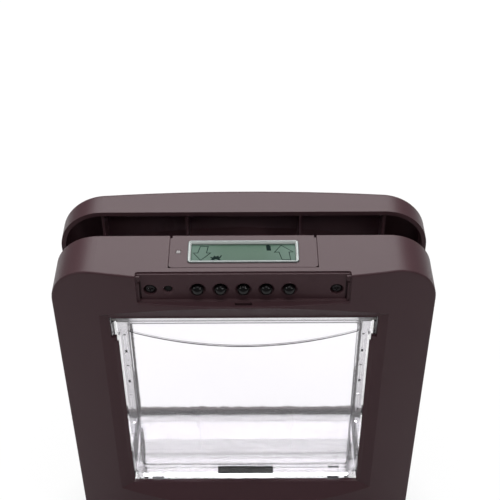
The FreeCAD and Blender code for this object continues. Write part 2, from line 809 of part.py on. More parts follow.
def flap():
    y0, y1 = y_flap, y_flap + flap_t
    y_pane = y_hinge - pane_t / 2
    rim = flap_outline(0, y0, y1)
    x_in = x_flap - flap_rim
    window = rounded_block(-x_in, x_in, z_flap_bottom + flap_bottom_rim, z_flap_top - flap_top_rim, 4.0,
                           y0 - 1, y1 + 1)
    pane = rounded_block(-x_in - 1, x_in + 1, z_flap_bottom + flap_bottom_rim - 1,
                         z_flap_top - flap_top_rim + 1, 4.0, y_pane, y_pane + pane_t)
    raised = Part.makeLoft([dish_wire(0, y_pane + 0.01), dish_wire(dish_slope, y_pane - dish_rise)], True, True)
    hollow = Part.makeLoft([dish_wire(0, y_pane + pane_t), dish_wire(dish_slope, y_pane + pane_t - dish_rise)],
                           True, True)
    body = join([rim.cut(window), pane, raised]).cut(hollow)
    body = body.cut(flap_grooves(y0))
    tabs = []
    for side in (-1, 1):
        y_tab = y_hinge + side * (pawl_t / 2 + tab_gap / 2)
        tabs.append(box(side * latch_x - pawl_w / 2, side * latch_x + pawl_w / 2,
                        y_tab - tab_t / 2, y_tab + tab_t / 2, z_flap_bottom - tab_drop, z_flap_bottom + 0.5))
    body = join([body] + tabs)
    for pin in hinge_pin_rods():
        body = body.cut(pin)
    return body.cut(flap_magnet())


def flap_grooves(y0):
    """Channels in the front of the rim, crossed by small ribs."""
    side_mid = x_flap - flap_rim / 2
    z_low = z_flap_bottom + flap_bottom_rim
    z_high = z_flap_top - flap_ear_h
    cuts = []
    run = z_high - z_low
    count = int(run // rib_pitch_side)
    step = run / count
    for side in (-1, 1):
        x = side * side_mid
        for i in range(count):
            cuts.append(box(x - groove_w / 2, x + groove_w / 2, y0 - 1, y0 + groove_d,
                            z_low + i * step + groove_rib / 2, z_low + (i + 1) * step - groove_rib / 2))
    z_mid = z_flap_top - flap_top_rim / 2
    bays = int((x_flap - 2 * flap_rim) * 2 // rib_pitch_top)
    start = -bays * rib_pitch_top / 2
    for i in range(bays):
        x0 = start + i * rib_pitch_top
        cuts.append(box(x0 + groove_rib / 2, x0 + rib_pitch_top - groove_rib / 2, y0 - 1, y0 + groove_d - 0.8,
                        z_mid - groove_w / 2, z_mid + groove_w / 2))
    return Part.makeCompound(cuts)


def hinge_pin_rods():
    x1 = x_tunnel + tunnel_wall + bearing_l - bearing_cap - pawl_clear
    return both_sides(rod_x(x1 - pin_len, x1, y_hinge, z_hinge, pin_r))


def hinge_pins():
    return Part.makeCompound(hinge_pin_rods())


def flap_magnet():
    z0 = z_flap_bottom + (flap_bottom_rim - magnet_h) / 2
    return box(-magnet_w / 2, magnet_w / 2, y_hinge - magnet_t / 2, y_hinge + magnet_t / 2, z0, z0 + magnet_h)


# Batteries behind the plain cover
def battery_box():
    x = x_bay + box_wall
    y_back = y_bay_back + box_wall
    solid = bowed_form(y_front, front_bow_r, y_door_in, front_wall + seat_gap)
    solid = solid.common(box(-x, x, y_front, y_back, z_bay_bottom - box_wall, z_bay_top + box_wall))
    inner = box(-x_bay, x_bay, y_front - 1, y_bay_back, z_bay_bottom, z_bay_top)
    tray = solid.cut(inner)
    foot = box(-x_bay * 0.5, x_bay * 0.5, y_back - 0.2, y_door_in - chassis_t,
               z_bay_bottom, z_bay_bottom + box_wall)
    return join([tray, foot])


def cell_centres():
    return [z_bay_bottom + cell_gap / 2 + cell_r, z_bay_top - cell_gap / 2 - cell_r]


def battery_cells():
    cells = []
    for z in cell_centres():
        for side in (-1, 1):
            x0 = side * cell_gap
            body_l = cell_l - cell_nub_l
            start = x0 if side > 0 else x0 - body_l
            body = rod_x(start, start + body_l, y_cells, z, cell_r)
            tip = side * (cell_gap + body_l)
            n0, n1 = sorted((tip - side * 0.2, tip + side * cell_nub_l))
            cells.append(join([body, rod_x(n0, n1, y_cells, z, cell_nub_r)]))
    return Part.makeCompound(cells)


def battery_contacts():
    parts = []
    for side in (-1, 1):
        p0, p1 = sorted((side * (x_bay - contact_t), side * x_bay))
        half = contact_w / 2
        plate = box(p0, p1, y_cells - half, y_cells + half, z_bay_bottom + 1, z_bay_top - 1)
        springs = []
        for z in cell_centres():
            seat = Vector(side * (x_bay - contact_t), y_cells, z)
            springs.append(Part.makeCone(half * 0.8, half * 0.4, contact_spring, seat, Vector(-side, 0, 0)))
        parts.append(join([plate] + springs))
    return Part.makeCompound(parts)


def battery_cover():
    form = bowed_form(y_front, front_bow_r, y_door_in, 0)
    form = form.cut(bowed_form(y_front, front_bow_r, y_door_in + 5, front_wall))
    cover = form.common(battery_cover_block(0))
    for x, z, y_face in battery_places:
        cover = cover.fuse(rod_y(x, z, battery_pad_r, y_face + front_wall / 2, y_face + boss_len))
        cover = cover.cut(rod_y(x, z, head_hole_r, y_face - 3, y_face + screw_seat))
        cover = cover.cut(rod_y(x, z, shank_hole_r, y_face, y_face + boss_len + 1))
    return cover.removeSplitter()


# Frame on the garden side
def rear_frame():
    form = bowed_form(y_rear, -rear_bow_r, y_door_out, 0)
    form = soften_bow(form, y_door_out, rear_edge_r)
    cavity = bowed_form(y_rear, -rear_bow_r, y_door_out - 5, rear_wall)
    cavity = cavity.cut(surround(y_rear_open, 1, rear_side_bevel, surround_wall, y_rear_open - y_outer_end))
    y_rib = y_door_out + rear_rib_back
    x_rib = x_outer_flange + tunnel_fit
    ribs = both_sides(box(x_rib, x_rib + rear_rib, y_rib, y_rear, 0, height))
    z_over = z_sleeve_top + tunnel_wall + outer_flange + tunnel_fit
    z_under = z_sleeve_bottom - tunnel_wall - outer_flange - tunnel_fit
    x_mid = x_rib * 0.4
    ribs += both_sides(box(x_mid, x_mid + rear_rib, y_rib, y_rear, z_over, height))
    ribs += both_sides(box(x_mid, x_mid + rear_rib, y_rib, y_rear, 0, z_under))
    for rib in ribs:
        cavity = cavity.cut(rib)
    for x in (-bolt_x, bolt_x):
        for z in z_bolts:
            cavity = cavity.cut(rod_y(x, z, bolt_boss_r, y_door_out + bolt_boss_back, y_rear))
    shell = form.cut(cavity)
    shell = shell.cut(surround(y_rear_open, 1, rear_side_bevel, 0, 0))
    shell = shell.cut(box(-x_open, x_open, y_outer_end - 1, y_rear_open + 1, z_open_bottom, z_open_top))
    for bolt in bolt_solids():
        shell = shell.cut(bolt)
    return shell


def bolt_solids():
    y_head1 = bow_y(bolt_x, y_rear, -rear_bow_r, 0) - rear_wall
    y_head0 = y_head1 - bolt_head_t
    y_tip = y_door_in - bolt_reach
    bolts = []
    for x in (-bolt_x, bolt_x):
        for z in z_bolts:
            shank = rod_y(x, z, bolt_r, y_tip, y_head0 + 0.2)
            bolts.append(join([shank, rod_y(x, z, bolt_head_r, y_head0, y_head1)]))
    return bolts


def fixing_bolts():
    return Part.makeCompound(bolt_solids())


def fixing_nuts():
    y1 = y_door_in - chassis_t
    y0 = y1 - nut_washer_t - nut_t
    r = nut_af / 2 / math.cos(math.pi / 6)
    nuts = []
    for x in (-bolt_x, bolt_x):
        for z in z_bolts:
            corners = [Vector(x + r * math.cos(i * math.pi / 3), y0, z + r * math.sin(i * math.pi / 3))
                       for i in range(7)]
            hexagon = Part.Face(Part.makePolygon(corners)).extrude(Vector(0, nut_t + 0.1, 0))
            washer = rod_y(x, z, nut_washer_r, y1 - nut_washer_t, y1)
            nut = join([hexagon, washer])
            nuts.append(nut.cut(rod_y(x, z, bolt_r + run_fit, y0 - 1, y1 + 1)))
    return Part.makeCompound(nuts)


nodes = {
    "front_housing": front_housing,
    "chassis": chassis,
    "inner_tunnel": inner_tunnel,
    "hinge_bearing_left": lambda: hinge_bearing(-1),
    "hinge_bearing_right": lambda: hinge_bearing(1),
    "display_panel": display_panel,
    "display_bezel": display_bezel,
    "lcd_screen": lcd_screen,
    "lcd_module": lcd_module,
    "indicator_window": indicator_window,
    "reset_button": reset_button,
    "key_switches": key_switches,
    "main_board": main_board,
    "cover_screws": cover_screws,
    "base_screws": base_screws,
    "battery_cover_screws": battery_cover_screws,
    "reader_coil": reader_coil,
    "latch_coil_out": lambda: latch_coil(-1),
    "latch_coil_in": lambda: latch_coil(1),
    "latch_pawl_out": lambda: latch_pawl(-1),
    "latch_pawl_in": lambda: latch_pawl(1),
    "sill_magnet": sill_magnet,
    "battery_box": battery_box,
    "battery_cells": battery_cells,
    "battery_contacts": battery_contacts,
    "battery_cover": battery_cover,
    "rear_frame": rear_frame,
    "outer_tunnel": outer_tunnel,
    "fixing_bolts": fixing_bolts,
    "fixing_nuts": fixing_nuts,
    "flap": flap,
    "hinge_pins": hinge_pins,
    "flap_magnet": flap_magnet,
}


def main():
    os.makedirs("parts", exist_ok=True)
    for name, make in nodes.items():
        save(name, make())
    for i, x in enumerate(button_xs()):
        save("button_%d" % (i + 1), push_button(x))


def save(name, shape):
    if not shape.isValid():
        raise RuntimeError(name + " is not a valid shape")
    print(name, len(shape.Solids), round(shape.Volume, 1))
    shape.exportStep("parts/%s.step" % name)


main()
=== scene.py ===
import json
import math

import bmesh
import bpy
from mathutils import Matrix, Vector
from mathutils.kdtree import KDTree


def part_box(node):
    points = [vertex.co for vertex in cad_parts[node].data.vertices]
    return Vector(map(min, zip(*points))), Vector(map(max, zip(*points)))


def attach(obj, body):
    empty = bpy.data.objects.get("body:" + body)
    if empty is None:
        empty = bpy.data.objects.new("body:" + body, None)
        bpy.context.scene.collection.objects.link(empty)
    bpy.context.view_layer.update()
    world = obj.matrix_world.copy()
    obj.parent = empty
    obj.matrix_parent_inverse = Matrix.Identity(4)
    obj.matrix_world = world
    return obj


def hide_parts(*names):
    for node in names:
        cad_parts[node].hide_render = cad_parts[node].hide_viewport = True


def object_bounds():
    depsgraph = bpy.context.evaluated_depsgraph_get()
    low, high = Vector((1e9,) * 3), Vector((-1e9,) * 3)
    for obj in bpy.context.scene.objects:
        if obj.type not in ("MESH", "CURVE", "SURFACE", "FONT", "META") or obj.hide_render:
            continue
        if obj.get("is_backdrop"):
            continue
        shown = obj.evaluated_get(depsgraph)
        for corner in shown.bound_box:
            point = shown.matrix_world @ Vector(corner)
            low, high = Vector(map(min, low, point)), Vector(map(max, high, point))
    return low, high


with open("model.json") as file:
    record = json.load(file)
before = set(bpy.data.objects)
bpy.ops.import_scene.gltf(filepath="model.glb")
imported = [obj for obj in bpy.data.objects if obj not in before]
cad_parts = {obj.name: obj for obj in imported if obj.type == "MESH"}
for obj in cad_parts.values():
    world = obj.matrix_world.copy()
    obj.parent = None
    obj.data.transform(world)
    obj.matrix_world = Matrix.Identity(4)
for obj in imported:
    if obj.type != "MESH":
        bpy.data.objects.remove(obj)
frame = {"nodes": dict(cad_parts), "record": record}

bl_info = {
    "name": "Electronic cat flap",
    "version": (1, 0, 0),
    "blender": (4, 5, 0),
    "location": "3D View > Sidebar > Cat Flap",
    "description": "Dresses an electronic cat flap and sets up a studio view of it",
    "category": "Object",
}

MM = 0.001
nodes = frame["nodes"]
body_of_node = {node: body for body, members in frame["record"]["behaviour"]["bodies"].items()
                for node in members}


def linear(code):
    """Linear red, green and blue of an sRGB hex colour."""
    parts = [int(code[i:i + 2], 16) / 255 for i in (1, 3, 5)]
    return [c / 12.92 if c <= 0.04045 else ((c + 0.055) / 1.055) ** 2.4 for c in parts]


def colour_prop(name, description, code):
    return bpy.props.FloatVectorProperty(name=name, description=description, subtype="COLOR", size=3,
                                         min=0.0, max=1.0, default=linear(code))


def length_prop(name, description, mm):
    return bpy.props.FloatProperty(name=name, description=description, unit="LENGTH", subtype="DISTANCE",
                                   min=0.0, default=mm * MM)


class CatFlapColours(bpy.types.PropertyGroup):
    shell: colour_prop("Shell", "Dark brown of the two moulded frames", "#3B282C")
    shell_worn: colour_prop("Shell, lighter", "Lighter brown where the moulding grain is closed", "#402C30")
    clear: colour_prop("Clear plastic", "Tint of the tunnel and the flap", "#E8E6EA")
    bezel: colour_prop("Bezel", "Silver lacquer round the display", "#5F6463")
    # painted highlight: a light grey on the display frame's inside wall stands in for the sheen of the lit
    # border
    bezel_wall_painted_sheen: colour_prop("Bezel wall", "Light inside wall of the display frame", "#B4B8B6")
    display: colour_prop("Display", "Grey green of the display, near its middle", "#42564A")
    display_edge: colour_prop("Display, edge", "Lighter grey green at the display's ends", "#50635A")
    ink: colour_prop("Display symbols", "Dark segments of the display", "#16211F")
    buttons: colour_prop("Buttons", "Polished black of the push buttons", "#070607")


class CatFlapSizes(bpy.types.PropertyGroup):
    button_radius: length_prop("Button radius", "Radius of a push button's cap", 3.6)
    button_dome: length_prop("Button dome", "Height of the round dome on a cap", 2.2)
    button_bead: length_prop("Button bead", "Bead of the cap's edge below the dome", 0.35)
    button_flange: length_prop("Button flange", "Thickness of the flange behind the panel", 1.0)
    button_stem: length_prop("Button stem", "Length of the stem behind the flange", 1.4)
    stem_half: length_prop("Stem half width", "Half the width of the square stem", 1.6)
    screw_radius: length_prop("Screw head radius", "Radius of a pan head", 3.2)
    screw_head: length_prop("Screw head height", "Height of a pan head", 2.0)
    shank_radius: length_prop("Screw shank radius", "Radius of the screws' shanks", 1.5)
    bezel_border: length_prop("Bezel border", "Width of the silver border round the display", 2.0)
    bezel_corner: length_prop("Bezel corner", "Outer corner radius of the bezel", 2.2)
    symbol_line: length_prop("Symbol line", "Line width of the arrows on the display", 0.5)
    grain: length_prop("Moulding grain", "Spark eroded grain, drawn coarser than the real 0.2 mm", 0.7)
    recess_sill: length_prop("Recess sill", "Height of the low sill along the control recess", 0.6)
    recess_corner: length_prop("Recess corner", "Radius of the control recess's corners", 1.6)
    flap_rim: length_prop("Flap rim", "Width of the flap's side rims", 6.1)
    panel_rise: length_prop("Panel rise", "How far the flap's panel is pressed forward", 0.8)
    panel_sag: length_prop("Panel arc", "Sag of the arc along the top of the flap's panel", 14.0)


def colours():
    return bpy.context.scene.cat_flap_colours


def sizes():
    return bpy.context.scene.cat_flap_sizes


def in_mm(length):
    """A set length in millimetres, free of the noise of short floats."""
    return round(length / MM, 4)


# Materials

def add_node(tree, kind, inputs=None, **settings):
    """Adds a node, with its settings, and gives its inputs values or links."""
    node = tree.nodes.new(kind)
    for key, value in settings.items():
        setattr(node, key, value)
    for key, value in (inputs or {}).items():
        if isinstance(value, bpy.types.NodeSocket):
            tree.links.new(value, node.inputs[key])
        else:
            node.inputs[key].default_value = value
    return node


def start_material(name):
    """An empty material, its tree and the object coordinates, which are in metres."""
    existing = bpy.data.materials.get(name)
    if existing:
        bpy.data.materials.remove(existing)
    material = bpy.data.materials.new(name)
    material.use_nodes = True
    tree = material.node_tree
    tree.nodes.clear()
    place = add_node(tree, "ShaderNodeTexCoord").outputs["Object"]
    return material, tree, place


def per_metre(size):
    """Pattern scale for one feature per size, in metres."""
    return 1.0 / size


def rgba(colour):
    return (colour[0], colour[1], colour[2], 1.0)


def satin_moulded_abs():
    # ABS, injection moulded in a spark eroded tool: a satin skin with a fine even grain,
    # a little glossier where the grain has closed up, and soft edges
    tint = colours()
    material, tree, place = start_material("satin_moulded_abs")
    patch = add_node(tree, "ShaderNodeTexNoise", {"Vector": place, "Scale": per_metre(0.06), "Detail": 3.0})
    base = add_node(tree, "ShaderNodeMix", {"Factor": patch.outputs["Fac"], 6: rgba(tint.shell),
                                            7: rgba(tint.shell_worn)}, data_type="RGBA")
    grain = add_node(tree, "ShaderNodeTexNoise",
                     {"Vector": place, "Scale": per_metre(sizes().grain), "Detail": 4.0, "Roughness": 0.6})
    gloss = add_node(tree, "ShaderNodeMapRange",
                     {"Value": grain.outputs["Fac"], "From Min": 0.3, "From Max": 0.7,
                      "To Min": 0.36, "To Max": 0.46})
    edge = add_node(tree, "ShaderNodeBevel", {"Radius": 0.5 * MM}, samples=6)
    bump = add_node(tree, "ShaderNodeBump", {"Height": grain.outputs["Fac"], "Strength": 0.12,
                                             "Distance": 0.05 * MM, "Normal": edge.outputs[0]})
    shader = add_node(tree, "ShaderNodeBsdfPrincipled",
                      {"Base Color": base.outputs[2], "Roughness": gloss.outputs[0], "IOR": 1.53,
                       "Specular IOR Level": 0.12, "Normal": bump.outputs[0]})
    add_node(tree, "ShaderNodeOutputMaterial", {"Surface": shader.outputs[0]})
    return material


def clear_moulded_polycarbonate(name, clearness, roughness):
    # Polycarbonate, injection moulded: clear where the tool was polished, with faint flow lines that bend
    # what lies behind, and milky where it was textured, by a lower clearness and a higher roughness
    material, tree, place = start_material(name)
    flow = add_node(tree, "ShaderNodeTexNoise", {"Vector": place, "Scale": per_metre(0.012), "Detail": 2.0})
    fine = add_node(tree, "ShaderNodeTexNoise", {"Vector": place, "Scale": per_metre(0.0015), "Detail": 3.0})
    gloss = add_node(tree, "ShaderNodeMapRange", {"Value": fine.outputs["Fac"], "To Min": roughness,
                                                  "To Max": roughness + 0.05})
    bump = add_node(tree, "ShaderNodeBump", {"Height": flow.outputs["Fac"], "Strength": 0.25,
                                             "Distance": 0.2 * MM})
    shader = add_node(tree, "ShaderNodeBsdfPrincipled",
                      {"Base Color": rgba(colours().clear), "Roughness": gloss.outputs[0], "IOR": 1.585,
                       "Transmission Weight": clearness, "Normal": bump.outputs[0]})
    add_node(tree, "ShaderNodeOutputMaterial", {"Surface": shader.outputs[0]})
    return material


def silver_lacquered_abs():
    # ABS sprayed with silver lacquer: fine flakes, softly shiny
    material, tree, place = start_material("silver_lacquered_abs")
    flake = add_node(tree, "ShaderNodeTexNoise",
                     {"Vector": place, "Scale": per_metre(0.25 * MM), "Detail": 2.0})
    gloss = add_node(tree, "ShaderNodeMapRange",
                     {"Value": flake.outputs["Fac"], "To Min": 0.28, "To Max": 0.42})
    edge = add_node(tree, "ShaderNodeBevel", {"Radius": 0.2 * MM}, samples=6)
    bump = add_node(tree, "ShaderNodeBump", {"Height": flake.outputs["Fac"], "Strength": 0.08,
                                             "Distance": 0.02 * MM, "Normal": edge.outputs[0]})
    shader = add_node(tree, "ShaderNodeBsdfPrincipled",
                      {"Base Color": rgba(colours().bezel), "Metallic": 0.35, "Roughness": gloss.outputs[0],
                       "Normal": bump.outputs[0]})
    add_node(tree, "ShaderNodeOutputMaterial", {"Surface": shader.outputs[0]})
    return material


def reflective_display_glass():
    # Polarised glass with an etched anti-glare face over a reflective back: a dull grey green, paler at
    # its ends
    tint = colours()
    material, tree, place = start_material("reflective_display_glass")
    axes = add_node(tree, "ShaderNodeSeparateXYZ", {"Vector": place})
    across = add_node(tree, "ShaderNodeMath", {0: axes.outputs["X"]}, operation="ABSOLUTE")
    fade = add_node(tree, "ShaderNodeMapRange",
                    {"Value": across.outputs[0], "From Min": 0.012, "From Max": 0.034})
    base = add_node(tree, "ShaderNodeMix", {"Factor": fade.outputs[0], 6: rgba(tint.display),
                                            7: rgba(tint.display_edge)}, data_type="RGBA")
    cloud = add_node(tree, "ShaderNodeTexNoise", {"Vector": place, "Scale": per_metre(4 * MM), "Detail": 2.0})
    gloss = add_node(tree, "ShaderNodeMapRange",
                     {"Value": cloud.outputs["Fac"], "To Min": 0.32, "To Max": 0.4})
    shader = add_node(tree, "ShaderNodeBsdfPrincipled",
                      {"Base Color": base.outputs[2], "Roughness": gloss.outputs[0], "IOR": 1.5,
                       "Specular IOR Level": 0.04})
    add_node(tree, "ShaderNodeOutputMaterial", {"Surface": shader.outputs[0]})
    return material


def plain_finish(name, colour, roughness, spread, grain_mm, metallic=0.0, bump_mm=0.02, ior=1.5,
                 specular=0.5):
    """A finish whose roughness and surface vary with one grain, in millimetres."""
    material, tree, place = start_material(name)
    grain = add_node(tree, "ShaderNodeTexNoise",
                     {"Vector": place, "Scale": per_metre(grain_mm * MM), "Detail": 3.0})
    gloss = add_node(tree, "ShaderNodeMapRange",
                     {"Value": grain.outputs["Fac"],
                      "To Min": roughness - spread, "To Max": roughness + spread})
    bump = add_node(tree, "ShaderNodeBump", {"Height": grain.outputs["Fac"], "Strength": 0.2,
                                             "Distance": bump_mm * MM})
    settings = {"Base Color": rgba(colour), "Roughness": gloss.outputs[0], "Metallic": metallic,
                "Normal": bump.outputs[0]}
    if metallic < 0.5:
        settings["IOR"] = ior
        settings["Specular IOR Level"] = specular
    shader = add_node(tree, "ShaderNodeBsdfPrincipled", settings)
    add_node(tree, "ShaderNodeOutputMaterial", {"Surface": shader.outputs[0]})
    return material


def polished_black_abs():
    # ABS moulded in a mirror polished tool: deep black with small sharp highlights
    return plain_finish("polished_black_abs", colours().buttons, 0.05, 0.02, 0.6, bump_mm=0.002, ior=1.54,
                        specular=0.25)


# Building pieces

def mesh_from(name, points, faces, smooth=True):
    mesh = bpy.data.meshes.new(name)
    mesh.from_pydata([Vector(p) for p in points], [], faces)
    mesh.update()
    mesh.polygons.foreach_set("use_smooth", [smooth] * len(mesh.polygons))
    return mesh


def lathe_y(profile, x, z, segments=64):
    """Points and faces of a profile of (radius, y) turned about an axis along Y."""
    points, faces, rings = [], [], []
    for radius, y in profile:
        if radius < 1e-7:
            rings.append([len(points)])
            points.append((x, y, z))
            continue
        ring = []
        for i in range(segments):
            a = 2 * math.pi * i / segments
            ring.append(len(points))
            points.append((x + radius * math.cos(a), y, z + radius * math.sin(a)))
        rings.append(ring)
    for a, b in zip(rings, rings[1:]):
        for i in range(segments):
            j = (i + 1) % segments
            if len(a) == 1 and len(b) > 1:
                faces.append((a[0], b[i], b[j]))
            elif len(b) == 1 and len(a) > 1:
                faces.append((a[j], a[i], b[0]))
            elif len(a) > 1:
                faces.append((a[i], b[i], b[j], a[j]))
    return points, faces


def add_block(points, faces, x, z, half, y0, y1):
    """Adds a square block that is centred on an axis along Y."""
    first = len(points)
    for y in (y0, y1):
        points += [(x - half, y, z - half), (x + half, y, z - half),
                   (x + half, y, z + half), (x - half, y, z + half)]
    for side in ((0, 1, 2, 3), (7, 6, 5, 4), (0, 4, 5, 1), (1, 5, 6, 2), (2, 6, 7, 3), (3, 7, 4, 0)):
        faces.append(tuple(first + i for i in side))


def add_piece(name, mesh, material, node):
    """A new piece that stands for a node and rides on its body."""
    piece = bpy.data.objects.new(name, mesh)
    bpy.context.scene.collection.objects.link(piece)
    mesh.materials.append(material)
    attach(piece, body_of_node[node])
    return piece


def block(x0, x1, y0, y1, z0, z1):
    """Points and faces of an upright block."""
    points = [(x, y, z) for x in (x0, x1) for y in (y0, y1) for z in (z0, z1)]
    return points, [(0, 1, 3, 2), (4, 6, 7, 5), (0, 4, 5, 1), (2, 3, 7, 6), (0, 2, 6, 4), (1, 5, 7, 3)]


def prism(outline, place, low, high):
    """Points and faces of an outline swept from low to high, where place(u, v, w) gives the points."""
    count = len(outline)
    points = [place(u, v, w) for w in (low, high) for u, v in outline]
    faces = [tuple(range(count)), tuple(reversed(range(count, 2 * count)))]
    for i in range(count):
        j = (i + 1) % count
        faces.append((j, i, count + i, count + j))
    return points, faces


def both_sides(part):
    """A part and its mirror image on the other side."""
    points, faces = part
    return [part, ([(-x, y, z) for x, y, z in points], [tuple(reversed(face)) for face in faces])]


def circle(u, v, r, steps=32):
    return [(u + r * math.cos(2 * math.pi * i / steps), v + r * math.sin(2 * math.pi * i / steps))
            for i in range(steps)]


def rounded(x, z0, z1, r, steps=8):
    """Points round an upright rounded rectangle, from -x to x."""
    outline = []
    centres = ((x - r, z1 - r, 0), (r - x, z1 - r, 90), (r - x, z0 + r, 180), (x - r, z0 + r, 270))
    for cx, cz, start in centres:
        for i in range(steps + 1):
            a = math.radians(start + 90 * i / steps)
            outline.append((cx + r * math.cos(a), cz + r * math.sin(a)))
    return outline


def corner_fill(u, v, r, lap, place, low, high):
    """A quarter round that fills the corner (u, v) of a recess and is sunk by lap into its walls."""
    outline = [(u + lap, v - lap), (u + lap, v + r), (u, v + r)]
    for i in range(1, 9):
        a = math.pi / 2 * i / 8
        outline.append((u - r + r * math.cos(a), v + r - r * math.sin(a)))
    outline += [(u - r, v - lap)]
    return prism(outline, place, low, high)


def applied(piece):
    """The mesh that a piece has with its modifiers; the piece itself goes."""
    bpy.context.view_layer.update()
    mesh = bpy.data.meshes.new_from_object(piece.evaluated_get(bpy.context.evaluated_depsgraph_get()))
    spent = piece.data
    bpy.data.objects.remove(piece)
    bpy.data.meshes.remove(spent)
    return mesh


def loose_object(mesh):
    piece = bpy.data.objects.new(mesh.name, mesh)
    bpy.context.scene.collection.objects.link(piece)
    return piece


def tool_mesh(parts):
    """One mesh of closed parts that don't touch, given in millimetres."""
    form = bmesh.new()
    for points, faces in parts:
        corners = [form.verts.new(Vector(point) * MM) for point in points]
        for face in faces:
            form.faces.new([corners[i] for i in face])
    bmesh.ops.recalc_face_normals(form, faces=form.faces)
    mesh = bpy.data.meshes.new("tool")
    form.to_mesh(mesh)
    form.free()
    return mesh


def keep_normals(mesh, source):
    """Gives each corner the normal that the moulding has there, or else its own face's."""
    tree = KDTree(len(source.loops))
    for loop in source.loops:
        tree.insert(source.vertices[loop.vertex_index].co, loop.index)
    tree.balance()
    known = [[source.corner_normals[index].vector
              for co, index, away in tree.find_range(vertex.co, 0.002 * MM)] for vertex in mesh.vertices]
    normals = [None] * len(mesh.loops)
    for face in mesh.polygons:
        face.use_smooth = True
        for index in face.loop_indices:
            near = known[mesh.loops[index].vertex_index]
            best = max(near, key=face.normal.dot, default=face.normal)
            normals[index] = best if best.dot(face.normal) > 0.9 else face.normal
    mesh.normals_split_custom_set(normals)


def reshaped(name, node, steps):
    """A mesh made from a moulding's mesh by adding and cutting away parts."""
    form = bmesh.new()
    form.from_mesh(nodes[node].data)
    bmesh.ops.remove_doubles(form, verts=form.verts, dist=0.001 * MM)
    mesh = bpy.data.meshes.new(name)
    form.to_mesh(mesh)
    form.free()
    body = loose_object(mesh)
    tools = []
    for operation, parts in steps:
        tools.append(loose_object(tool_mesh(parts)))
        change = body.modifiers.new(operation, "BOOLEAN")
        change.operation, change.solver, change.object = operation, "EXACT", tools[-1]
    mesh = applied(body)
    for tool in tools:
        bpy.data.meshes.remove(applied(tool))
    keep_normals(mesh, nodes[node].data)
    mesh.name = name
    mesh.materials.clear()
    return mesh


def dress(material, *names):
    """Gives CAD nodes a material."""
    for name in names:
        nodes[name].data.materials.clear()
        nodes[name].data.materials.append(material)


def rounded_outline(x, y, r, steps=10):
    """Points round a level rounded rectangle of half sizes x and y, anticlockwise."""
    outline = []
    for cx, cy, start in ((x - r, y - r, 0), (r - x, y - r, 90), (r - x, r - y, 180), (x - r, r - y, 270)):
        for i in range(steps + 1):
            a = math.radians(start + 90 * i / steps)
            outline.append((cx + r * math.cos(a), cy + r * math.sin(a)))
    return outline


def half_sizes(node):
    """Half sizes and middle of a node's box, seen from above."""
    low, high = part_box(node)
    return (high.x - low.x) / 2, (high.y - low.y) / 2, (low.x + high.x) / 2, (low.y + high.y) / 2


def stacked(node, levels, corner, hollow=False):
    """Rounded rectangles at levels of (inset, z) over a node, as a closed solid or a hollow ring."""
    x, y, mid_x, mid_y = half_sizes(node)
    points, faces, rings = [], [], []
    for inset, z in levels:
        outline = rounded_outline(x - inset, y - inset, corner(inset))
        rings.append(range(len(points), len(points) + len(outline)))
        points += [(mid_x + u, mid_y + v, z) for u, v in outline]
    for a, b in zip(rings, rings[1:] + (rings[:1] if hollow else [])):
        for i in range(len(a)):
            j = (i + 1) % len(a)
            faces.append((a[i], a[j], b[j], b[i]))
    if not hollow:
        faces += [tuple(rings[-1]), tuple(reversed(rings[0]))]
    return points, faces


